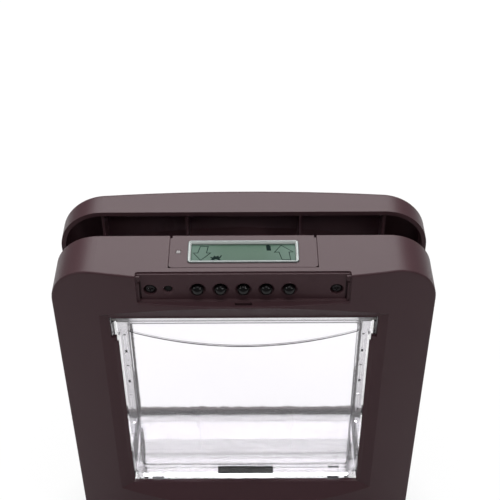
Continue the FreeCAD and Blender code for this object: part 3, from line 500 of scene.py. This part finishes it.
class CATFLAP_OT_shells(bpy.types.Operator):
    """Give the moulded frames, the chassis and the covers their brown satin finish"""
    bl_idname = "cat_flap.shells"
    bl_label = "Moulded Shells"

    def execute(self, context):
        shell = satin_moulded_abs()
        dress(shell, "chassis", "display_panel", "rear_frame", "battery_cover")
        housing = add_piece("housing_shell", self.housing(), shell, "front_housing")
        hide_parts("front_housing")
        return {"FINISHED"}

    def housing(self):
        """The front housing with a finished recess and with lips round the opening, in millimetres."""
        size = sizes()
        sill, r = in_mm(size.recess_sill), in_mm(size.recess_corner)
        # upright faces of the recess, from front to back
        rebate, panel, step = -38.55, -37.0, -35.5
        # levels of the recess's floor and of the housing's top
        floor, top = 248.0, 270.0
        # half widths of the recess and of its inner pocket
        end, pocket = 65.3, 62.7
        # the bowed face at the recess's end and past it
        skin, skin_past = -40.05, -39.8
        pivot_z, pivot_r, boss = 263.8, 1.2, 1.7
        softened, sink = 0.35, 0.3
        edge = [(rebate, floor - 0.5), (panel + 0.4, floor - 0.5), (panel + 0.4, floor + sill),
                (rebate + softened, floor + sill), (rebate, floor + sill - softened)]
        added = [prism(edge, lambda u, v, w: (w, u, v), -pocket - 0.2, pocket + 0.2),
                 block(-end - sink, end + sink, panel - 0.01, step + sink, top - 1.9, top - 0.9)]
        added += both_sides(corner_fill(end, floor, r, sink, lambda u, v, w: (u, w, v), -40.02, rebate))
        fill = [(end, skin), (end + 2.0, skin_past), (end + 2.0, rebate + 0.4), (end, rebate + 0.4)]
        added += both_sides(prism(fill, lambda u, v, w: (u, v, w), pivot_z - boss, pivot_z + boss))
        corners = both_sides(corner_fill(end, -step, r, sink, lambda u, v, w: (u, -v, w), top - 1.2, top))
        groove = block(pocket - 0.2, pocket + 0.8, rebate - 0.01, panel + 1.2, floor + sill, pivot_z)
        socket = prism(circle(rebate, pivot_z, pivot_r), lambda u, v, w: (w, u, v),
                       pocket - 0.3, pocket + 1.9)
        clip_half, clip_front, clip_back = 5.25, -42.0, -39.8
        slot = block(-clip_half, clip_half, clip_front, clip_back, floor - 3.0, floor + 0.5)
        return reshaped("housing_shell", "front_housing", [
            ("UNION", added), ("UNION", corners), ("UNION", self.lips()),
            ("DIFFERENCE", both_sides(groove) + [slot]), ("DIFFERENCE", both_sides(socket))])

    def lips(self):
        """Thin lips behind the bevel that bring the opening's sides and top further in."""
        front, back = -34.3, -33.85
        side, foot, ear = 80.3, 62.0, 209.0
        head, root = 229.2, 232.0
        upright = block(side, 83.5, front, back, foot, ear)
        return both_sides(upright) + [block(-83.0, 83.0, front, back, head, root)]


class CATFLAP_OT_clear_parts(bpy.types.Operator):
    """Give the tunnel, the hinge bearings and the flap their clear finish"""
    bl_idname = "cat_flap.clear_parts"
    bl_label = "Clear Tunnel and Flap"

    def execute(self, context):
        clear = clear_moulded_polycarbonate("clear_moulded_polycarbonate", clearness=0.95, roughness=0.02)
        textured = clear_moulded_polycarbonate("textured_moulded_polycarbonate", clearness=0.74,
                                               roughness=0.14)
        frosted = clear_moulded_polycarbonate("frosted_moulded_polycarbonate", clearness=0.2, roughness=0.3)
        dress(clear, "inner_tunnel")
        dress(frosted, "hinge_bearing_left", "hinge_bearing_right")
        mesh = self.flap()
        flap = add_piece("flap_moulding", mesh, clear, "flap")
        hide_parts("flap")
        # the band along the top is textured
        band = 222.0 * MM
        mesh.materials.append(textured)
        for face in mesh.polygons:
            face.material_index = 1 if min(mesh.vertices[i].co.z for i in face.vertices) > band else 0
        sleeve = add_piece("sleeve_moulding", self.sleeve(), clear, "outer_tunnel")
        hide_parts("outer_tunnel")
        return {"FINISHED"}

    def sleeve(self):
        """The outer sleeve, with its back flange cut lower along the top."""
        flange_top = 235.0
        trim = block(-95.0, 95.0, 30.0, 40.0, flange_top, flange_top + 6.0)
        return reshaped("sleeve_moulding", "outer_tunnel", [("DIFFERENCE", [trim])])

    def flap(self):
        """The flap with its wider rims, side slots, ticked top band and pressed panel, in millimetres."""
        rim = in_mm(sizes().flap_rim)
        front, back = -32.2, -26.2
        half, low, high, shoulder = 79.6, 73.4, 222.1, 211.8
        lap, fine = 0.5, 0.25
        inner, middle = half - rim, half - rim / 2
        window = prism(rounded(inner, low, high, 3.0), lambda u, v, w: (u, w, v), front - 1, back + 1)
        strips = both_sides(block(inner - lap, inner + 2.0, front, back, low - lap, high + lap))
        fill = both_sides(block(76.2, 78.4, front, -29.8, low - lap, shoulder + lap))
        fill.append(block(-73.0, 73.0, front, front + 1.6, 224.2, 226.7))
        cuts = []
        for x in (12.8, 38.2, 63.8):
            cuts += both_sides(block(x - fine, x + fine, front - 1, front + 1.0, 223.0, 227.8))
        slot_half, slot_length, slot_pitch = 0.8, 16.0, 29.0
        for i in range(4):
            z = shoulder - slot_pitch * i
            cuts += both_sides(block(middle - slot_half, middle + slot_half, front - 1, front + 2.2,
                                     z - slot_length, z))
        return reshaped("flap_moulding", "flap", [
            ("UNION", strips), ("UNION", fill), ("DIFFERENCE", [window]), ("DIFFERENCE", cuts),
            ("UNION", [self.pane(inner, low, high, lap)])])

    def pane(self, x, low, high, lap):
        """The pane of the window, pressed forward below a shallow arc."""
        size = sizes()
        rise, sag = in_mm(size.panel_rise), in_mm(size.panel_sag)
        y, thick = -30.2, 2.0
        shrink, r, steps = 0.8, 3.0, 32
        side, foot = high - 8.7, low + 1.2
        rings = []
        for inset in (0.0, shrink):
            ring = []
            px, top = x - inset, side - inset * 0.25
            for i in range(steps + 1):
                u = -1 + 2 * i / steps
                ring.append((px * u, top - sag * (1 - u * u)))
            for cx, start in ((px - r, 0), (r - px, -90)):
                for i in range(7):
                    a = math.radians(start - 15 * i)
                    ring.append((cx + r * math.cos(a), foot + inset + r + r * math.sin(a)))
            rings.append(ring)
        reach = x + lap
        outer = [(u * reach / x, high + lap) for u, v in rings[0][:steps + 1]]
        outer += [(u + math.copysign(lap, u), v - foot + low - lap) for u, v in rings[0][steps + 1:]]
        rings.insert(0, outer)
        count = len(outer)
        points, faces = [], []
        for ring, push in zip(rings, (0.0, 0.0, rise)):
            points += [(u, y - push, v) for u, v in ring]
        for ring, push in zip(rings, (0.0, 0.0, rise)):
            points += [(u, y + thick - push, v) for u, v in ring]
        for i in range(count):
            j = (i + 1) % count
            for a, b in ((0, 1), (1, 2)):
                faces.append((a * count + i, a * count + j, b * count + j, b * count + i))
                faces.append(((a + 3) * count + j, (a + 3) * count + i,
                              (b + 3) * count + i, (b + 3) * count + j))
            faces.append((j, i, 3 * count + i, 3 * count + j))
        faces.append(tuple(range(2 * count, 3 * count)))
        faces.append(tuple(reversed(range(5 * count, 6 * count))))
        return points, faces


class CATFLAP_OT_buttons(bpy.types.Operator):
    """Turn the five push buttons with their domes, beads and flanges"""
    bl_idname = "cat_flap.buttons"
    bl_label = "Push Buttons"

    def execute(self, context):
        size = sizes()
        polished = polished_black_abs()
        names = sorted(n for n in nodes if n.startswith("button_"))
        if not names:
            raise RuntimeError("the frame has no push buttons")
        for node in names:
            low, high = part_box(node)
            x, z = (low.x + high.x) / 2, (low.z + high.z) / 2
            points, faces = lathe_y(self.profile(low, high, size), x, z)
            flange = (high.x - low.x) / 2
            y_flange = high.y - size.button_stem - size.button_flange
            add_block(points, faces, x, z, flange, y_flange, high.y - size.button_stem)
            add_block(points, faces, x, z, size.stem_half, high.y - size.button_stem, high.y)
            cap = mesh_from(node + "_cap", points, faces)
            piece = add_piece(node + "_cap", cap, polished, node)
            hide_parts(node)
        # left as moulded, so it takes no clear reflection beside the polished buttons
        matt = plain_finish("matt_moulded_abs", colours().buttons, 0.5, 0.08, 0.6, specular=0.15)
        dress(matt, "reset_button")
        return {"FINISHED"}

    def profile(self, low, high, size):
        """Dome, bead and cap wall as (radius, y)."""
        radius, rise = size.button_radius, size.button_dome
        dome_r = (radius ** 2 + rise ** 2) / (2 * rise)
        half = math.asin(min(radius / dome_r, 1.0))
        profile = []
        for i in range(15):
            a = half * 0.93 * i / 14
            profile.append((dome_r * math.sin(a), low.y + dome_r * (1 - math.cos(a))))
        y_edge = low.y + rise
        bead = size.button_bead
        for i in range(1, 6):
            a = math.pi / 2 * i / 5
            profile.append((radius - bead + bead * math.sin(a), y_edge + bead * 0.6 * (1 - math.cos(a))))
        y_flange = high.y - size.button_stem - size.button_flange
        return profile + [(radius, y_flange), (0, y_flange)]


class CATFLAP_OT_screws(bpy.types.Operator):
    """Make the cross head screws in their counterbores"""
    bl_idname = "cat_flap.screws"
    bl_label = "Screws"

    def execute(self, context):
        # cold headed and zinc plated: a soft grey metal shine with a fine grain
        zinc = plain_finish("zinc_plated_steel", linear("#8F8D8B"), 0.38, 0.08, 0.4, metallic=1.0)
        dress(zinc, "fixing_bolts", "fixing_nuts", "hinge_pins", "battery_contacts")
        # the same metal, painted dark for the cover screws: painted shade that stands in for the shade of
        # deeper counterbores, with light only on the edges
        black = plain_finish("zinc_steel_painted_shade", linear("#2B292A"), 0.34, 0.06, 0.4, metallic=1.0)
        self.screws("cover_screws", black)
        self.screws("base_screws", zinc)
        self.screws("battery_cover_screws", zinc)
        return {"FINISHED"}

    def screws(self, node, material):
        size = sizes()
        low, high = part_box(node)
        form = bmesh.new()
        z = (low.z + high.z) / 2
        for x in (low.x + size.screw_radius, high.x - size.screw_radius):
            self.one_screw(form, x, z, low.y, high.y, size)
        mesh = bpy.data.meshes.new(node + "_turned")
        form.to_mesh(mesh)
        form.free()
        mesh.polygons.foreach_set("use_smooth", [True] * len(mesh.polygons))
        mesh.set_sharp_from_angle(angle=math.radians(35))
        piece = add_piece(node + "_turned", mesh, material, node)
        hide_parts(node)

    def one_screw(self, form, x, z, y0, y1, size):
        """A pan head with a cross recess made of flats between four webs."""
        r, h = size.screw_radius, size.screw_head
        arm, slot, deep = r * 0.62, r * 0.15, h * 0.5
        rings = []
        steps = 48
        for radius, y in ((arm * 1.18, y0), (r * 0.86, y0 + h * 0.08), (r * 0.97, y0 + h * 0.26),
                          (r, y0 + h * 0.45), (r, y0 + h), (size.shank_radius, y0 + h),
                          (size.shank_radius, y1 - 1.5 * MM), (size.shank_radius * 0.3, y1)):
            turns = [2 * math.pi * i / steps for i in range(steps)]
            rings.append([form.verts.new((x + radius * math.cos(a), y, z + radius * math.sin(a)))
                          for a in turns])
        for a, b in zip(rings, rings[1:]):
            for i in range(steps):
                j = (i + 1) % steps
                form.faces.new((a[i], b[i], b[j], a[j]))
        form.faces.new(rings[-1])
        # cross recess: its outline on the face, and a smaller one at the bottom
        outline = []
        for quarter in range(4):
            turn = quarter * math.pi / 2
            for u, v in ((arm, -slot), (arm, slot), (slot, slot)):
                outline.append((u * math.cos(turn) - v * math.sin(turn),
                                u * math.sin(turn) + v * math.cos(turn)))
        top = [form.verts.new((x + u, y0, z + v)) for u, v in outline]
        floor = [form.verts.new((x + u * 0.55, y0 + deep, z + v * 0.8)) for u, v in outline]
        count = len(outline)
        for i in range(count):
            j = (i + 1) % count
            form.faces.new((top[i], top[j], floor[j], floor[i]))
        form.faces.new(floor)
        # the flat face between the recess and the first ring
        inner = rings[0]
        per = steps // 4
        for quarter in range(4):
            o = quarter * 3
            a, b, c, d = top[o], top[o + 1], top[o + 2], top[(o + 3) % count]
            start = quarter * per
            arc = [inner[(start + k) % steps] for k in range(per + 1)]
            half = per // 2
            for k in range(half):
                form.faces.new((b, arc[k + 1], arc[k]))
            form.faces.new((b, c, arc[half]))
            for k in range(half, per):
                form.faces.new((d, arc[k + 1], arc[k]))
            form.faces.new((c, d, arc[half]))
            form.faces.new((a, b, arc[0]))


class CATFLAP_OT_display(bpy.types.Operator):
    """Make the silver bezel, the display glass with its symbols, and the lamp window"""
    bl_idname = "cat_flap.display"
    bl_label = "Display"

    def execute(self, context):
        self.bezel()
        self.glass()
        self.symbols()
        self.lamp()
        return {"FINISHED"}

    def bezel(self):
        """A ring with a crowned border that rolls over into the window."""
        size = sizes()
        low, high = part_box("display_bezel")
        x, y, mid_x, mid_y = half_sizes("display_bezel")
        tall, border = high.z - low.z, size.bezel_border
        section = [(0, 0), (0, tall * 0.35), (border * 0.06, tall * 0.7), (border * 0.2, tall * 0.93),
                   (border * 0.4, tall), (border * 0.65, tall * 0.97), (border * 0.85, tall * 0.8),
                   (border * 0.97, tall * 0.45), (border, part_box("lcd_screen")[1].z - low.z),
                   (border * 0.97, 0)]
        levels = [(inset, low.z + rise) for inset, rise in section]
        points, faces = stacked("display_bezel", levels,
                                lambda inset: max(size.bezel_corner - inset, 0.6 * MM), hollow=True)
        mesh = mesh_from("bezel_ring", points, faces)
        mesh.set_sharp_from_angle(angle=math.radians(50))
        piece = add_piece("bezel_ring", mesh, silver_lacquered_abs(), "display_bezel")
        # painted highlight: the inner walls get a light, even grey beside the glass, which stands in for the
        # sheen on the lit silver border
        mesh.materials.append(plain_finish("painted_sheen_bezel_wall", colours().bezel_wall_painted_sheen, 0.4, 0.05, 0.5))
        # the inner walls, which take the painted highlight
        for face in mesh.polygons:
            within_x = abs(face.center.x - mid_x) < x - border * 0.7
            within_y = abs(face.center.y - mid_y) < y - border * 0.7
            face.material_index = 1 if within_x and within_y and face.normal.z < 0.8 else 0
        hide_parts("display_bezel")

    def glass(self):
        """The glass with its polished edge."""
        low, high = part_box("lcd_screen")
        edge = 0.25 * MM
        levels = [(0, low.z), (0, high.z - edge), (edge * 0.35, high.z - edge * 0.35), (edge, high.z)]
        points, faces = stacked("lcd_screen", levels, lambda inset: 0.5 * MM)
        mesh = mesh_from("display_glass", points, faces)
        mesh.set_sharp_from_angle(angle=math.radians(30))
        piece = add_piece("display_glass", mesh, reflective_display_glass(), "lcd_screen")
        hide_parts("lcd_screen")

    def symbols(self):
        """Two hollow arrows, a small cat and a battery, as thin segments on the glass."""
        low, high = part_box("lcd_screen")
        mid_y = (low.y + high.y) / 2
        z = high.z + 0.01 * MM
        # segments switched dark: flat shapes without a shine of their own
        ink = plain_finish("display_segment_ink", colours().ink, 0.7, 0.05, 1.0, specular=0.0)
        form = bmesh.new()
        down = [(-26.6, 6.4), (-21.8, 6.2), (-22.7, 0.1), (-20.1, 0.2), (-26.2, -6.6), (-30.8, 0.2),
                (-28.1, 0.1)]
        up = [(23.4, 7.0), (30.8, 0.7), (28.2, 0.7), (29.0, -6.4), (23.8, -6.4), (22.0, 0.7), (19.2, 0.5)]
        for outline in (down, up):
            self.stroke(form, outline, mid_y, z, sizes().symbol_line)
        battery = [(14.0, 7.2), (14.7, 7.2), (14.7, 7.8), (16.0, 7.7), (16.1, 7.0), (16.8, 7.0),
                   (17.2, 2.0), (14.4, 2.1)]
        self.fill(form, battery, mid_y, z)
        cat = [(-20.4, -7.6), (-19.2, -6.2), (-20.2, -5.3), (-20.2, -4.4), (-18.6, -4.9), (-17.9, -3.1),
               (-17.2, -3.9), (-16.2, -3.9), (-15.4, -3.1), (-15.0, -4.9), (-13.6, -2.9), (-13.0, -3.1),
               (-14.2, -5.6), (-14.6, -6.3), (-13.4, -7.7), (-15.2, -7.6), (-16.3, -6.6), (-17.4, -6.7),
               (-18.4, -7.8)]
        self.fill(form, [(u, v + 0.9) for u, v in cat], mid_y, z)
        mesh = bpy.data.meshes.new("display_symbols")
        form.to_mesh(mesh)
        form.free()
        add_piece("display_symbols", mesh, ink, "lcd_screen")

    def fill(self, form, outline, mid_y, z):
        corners = [form.verts.new((u * MM, mid_y + v * MM, z)) for u, v in outline]
        face = form.faces.new(corners)
        bmesh.ops.triangulate(form, faces=[face])

    def stroke(self, form, outline, mid_y, z, width):
        """A closed line of even width, mitred at its corners."""
        count = len(outline)
        inner, outer = [], []
        for i in range(count):
            here = Vector(outline[i]) * MM
            before = (here - Vector(outline[i - 1]) * MM).normalized()
            after = (Vector(outline[(i + 1) % count]) * MM - here).normalized()
            side = Vector((-before.y - after.y, before.x + after.x))
            side.normalize()
            reach = width / 2 / max(side.dot(Vector((-before.y, before.x))), 0.4)
            for ring, sign in ((inner, 1), (outer, -1)):
                spot = here + side * reach * sign
                ring.append(form.verts.new((spot.x, mid_y + spot.y, z)))
        for i in range(count):
            j = (i + 1) % count
            form.faces.new((inner[i], inner[j], outer[j], outer[i]))

    def lamp(self):
        """The small square lens, pillowed on top."""
        low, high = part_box("indicator_window")
        # moulded with a diffuser in it: a soft grey without a clear reflection
        lens = plain_finish("milky_moulded_acrylic", linear("#6F6B6B"), 0.4, 0.05, 1.0,
                            ior=1.49, specular=0.2)
        levels = [(0, low.z), (0, high.z - 0.3 * MM), (0.15 * MM, high.z - 0.08 * MM), (0.5 * MM, high.z)]
        points, faces = stacked("indicator_window", levels, lambda inset: 0.4 * MM)
        piece = add_piece("lamp_lens", mesh_from("lamp_lens", points, faces), lens,
                          "indicator_window")
        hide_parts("indicator_window")


class CATFLAP_OT_works(bpy.types.Operator):
    """Give the board, the latches, the reader coil and the batteries their finishes"""
    bl_idname = "cat_flap.works"
    bl_label = "Inner Works"

    def execute(self, context):
        # injection moulded: dull black that hides in the housing
        black = plain_finish("moulded_black_nylon", linear("#17171A"), 0.45, 0.08, 0.8, ior=1.53)
        # screen printed mask: an even green with a wet sheen
        board = plain_finish("green_solder_mask_board", linear("#12492B"), 0.3, 0.08, 1.5)
        # wound and wrapped in white tape: pale, with the turns as a coarse grain under it
        tape = plain_finish("taped_copper_coil", linear("#DEDCDC"), 0.5, 0.06, 1.2, bump_mm=0.1)
        # barrel plated: a bright, slightly warm metal
        nickel = plain_finish("nickel_plated_magnet", linear("#8E8D88"), 0.25, 0.06, 0.6, metallic=1.0)
        # shrunk on: a smooth dark sleeve with broad soft highlights
        jacket = plain_finish("shrink_sleeved_cell", linear("#33363C"), 0.35, 0.08, 3.0)
        # stamped from plated strip: grey metal with a fine, uneven shine
        steel = plain_finish("stamped_zinc_steel", linear("#A9A9A6"), 0.35, 0.08, 0.5, metallic=1.0)
        dress(black, "lcd_module", "key_switches", "latch_pawl_out", "latch_pawl_in", "battery_box")
        dress(board, "main_board")
        dress(tape, "reader_coil")
        dress(nickel, "sill_magnet", "flap_magnet")
        dress(jacket, "battery_cells")
        dress(steel, "latch_coil_out", "latch_coil_in")
        return {"FINISHED"}


class CATFLAP_OT_stage(bpy.types.Operator):
    """Set up the pale floor, the studio lamps, the surroundings and the camera"""
    bl_idname = "cat_flap.stage"
    bl_label = "Stage"

    def execute(self, context):
        self.floor()
        self.surroundings(context.scene)
        self.lamps()
        self.camera(context.scene)
        context.scene.view_settings.view_transform = "Standard"
        return {"FINISHED"}

    def floor(self):
        """Studio paper that stays white in the picture and still keeps the object's soft shadow."""
        low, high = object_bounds()
        material, tree = start_material("white_studio_paper")[:2]
        path = add_node(tree, "ShaderNodeLightPath").outputs
        seen = add_node(tree, "ShaderNodeMath", {0: path["Is Camera Ray"], 1: path["Is Transmission Ray"]},
                        operation="MAXIMUM")
        share = add_node(tree, "ShaderNodeMath", {0: seen.outputs[0], 1: 0.85}, operation="MULTIPLY")
        paper = add_node(tree, "ShaderNodeBsdfDiffuse", {"Color": rgba(linear("#DCDCDC"))})
        power = add_node(tree, "ShaderNodeMapRange",
                         {"Value": path["Is Transmission Ray"], "To Min": 1.0, "To Max": 1.4})
        glow = add_node(tree, "ShaderNodeEmission", {"Color": (1, 1, 1, 1), "Strength": power.outputs[0]})
        mixed = add_node(tree, "ShaderNodeMixShader",
                         {0: share.outputs[0], 1: paper.outputs[0], 2: glow.outputs[0]})
        add_node(tree, "ShaderNodeOutputMaterial", {"Surface": mixed.outputs[0]})
        half = 6.0
        points = [(-half, -half, low.z), (half, -half, low.z), (half, half, low.z), (-half, half, low.z)]
        floor = bpy.data.objects.new("studio_floor", mesh_from("studio_floor", points, [(0, 1, 2, 3)], False))
        bpy.context.scene.collection.objects.link(floor)
        floor.data.materials.append(material)
        floor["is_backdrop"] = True

    def surroundings(self, scene):
        """White where the camera looks, also through the clear parts, and a dim fill light elsewhere."""
        world = bpy.data.worlds.new("pale_studio")
        scene.world = world
        world.use_nodes = True
        tree = world.node_tree
        tree.nodes.clear()
        path = add_node(tree, "ShaderNodeLightPath").outputs
        seen = add_node(tree, "ShaderNodeMath", {0: path["Is Camera Ray"], 1: path["Is Transmission Ray"]},
                        operation="MAXIMUM")
        strength = add_node(tree, "ShaderNodeMapRange",
                            {"Value": seen.outputs[0], "To Min": 0.22, "To Max": 1.0})
        sky = add_node(tree, "ShaderNodeBackground", {"Color": (1, 1, 1, 1), "Strength": strength.outputs[0]})
        add_node(tree, "ShaderNodeOutputWorld", {"Surface": sky.outputs[0]})

    def lamps(self):
        """A large soft box over the back, a smaller one over the front and a small one at each side."""
        upper, middle = (0.0, 0.0, 0.2), (0.0, 0.0, 0.15)
        small = 0.18
        self.soft_box("top_box", (0.0, 1.1, 1.35), upper, width=1.5, height=0.9, watts=40.0)
        self.soft_box("front_box", (0.0, -0.35, 1.7), upper, width=0.9, height=0.4, watts=9.0)
        self.soft_box("left_box", (-1.3, -0.6, 1.0), middle, width=small, height=small, watts=4.0)
        self.soft_box("right_box", (1.2, -0.9, 1.3), middle, width=small, height=small, watts=5.8)

    def soft_box(self, name, place, aim, width, height, watts):
        lamp = bpy.data.lights.new(name, "AREA")
        lamp.shape = "RECTANGLE"
        lamp.size, lamp.size_y, lamp.energy = width, height, watts
        box = bpy.data.objects.new(name, lamp)
        bpy.context.scene.collection.objects.link(box)
        box.location = place
        box.rotation_euler = (Vector(aim) - Vector(place)).to_track_quat("-Z", "Y").to_euler()

    def camera(self, scene):
        """The camera that was fitted to the photo's edges together with the sizes."""
        lens = bpy.data.cameras.new("photo_camera")
        lens.lens = 79.7
        lens.sensor_width = 36.0
        lens.clip_start = 0.01
        camera = bpy.data.objects.new("photo_camera", lens)
        scene.collection.objects.link(camera)
        camera.location = (0.00514, -0.52661, 0.7232)
        camera.rotation_euler = [math.radians(a) for a in (48.414, 0.2486, -0.106)]
        scene.camera = camera


class CATFLAP_PT_panel(bpy.types.Panel):
    """Colours, sizes and steps of the cat flap"""
    bl_idname = "CATFLAP_PT_panel"
    bl_label = "Cat Flap"
    bl_space_type = "VIEW_3D"
    bl_region_type = "UI"
    bl_category = "Cat Flap"

    def draw(self, context):
        for group, kind in ((context.scene.cat_flap_colours, CatFlapColours),
                            (context.scene.cat_flap_sizes, CatFlapSizes)):
            column = self.layout.column()
            for name in kind.__annotations__:
                column.prop(group, name)
        for step in steps:
            self.layout.operator(step.bl_idname)


steps = (CATFLAP_OT_shells, CATFLAP_OT_clear_parts, CATFLAP_OT_buttons, CATFLAP_OT_screws,
         CATFLAP_OT_display, CATFLAP_OT_works, CATFLAP_OT_stage)
classes = (CatFlapColours, CatFlapSizes) + steps + (CATFLAP_PT_panel,)


def register():
    for kind in classes:
        bpy.utils.register_class(kind)
    bpy.types.Scene.cat_flap_colours = bpy.props.PointerProperty(type=CatFlapColours)
    bpy.types.Scene.cat_flap_sizes = bpy.props.PointerProperty(type=CatFlapSizes)


def unregister():
    del bpy.types.Scene.cat_flap_sizes
    del bpy.types.Scene.cat_flap_colours
    for kind in reversed(classes):
        bpy.utils.unregister_class(kind)


def main():
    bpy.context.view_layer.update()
    register()
    for step in steps:
        group, name = step.bl_idname.split(".")
        getattr(getattr(bpy.ops, group), name)()


if __name__ == "__main__":
    main()
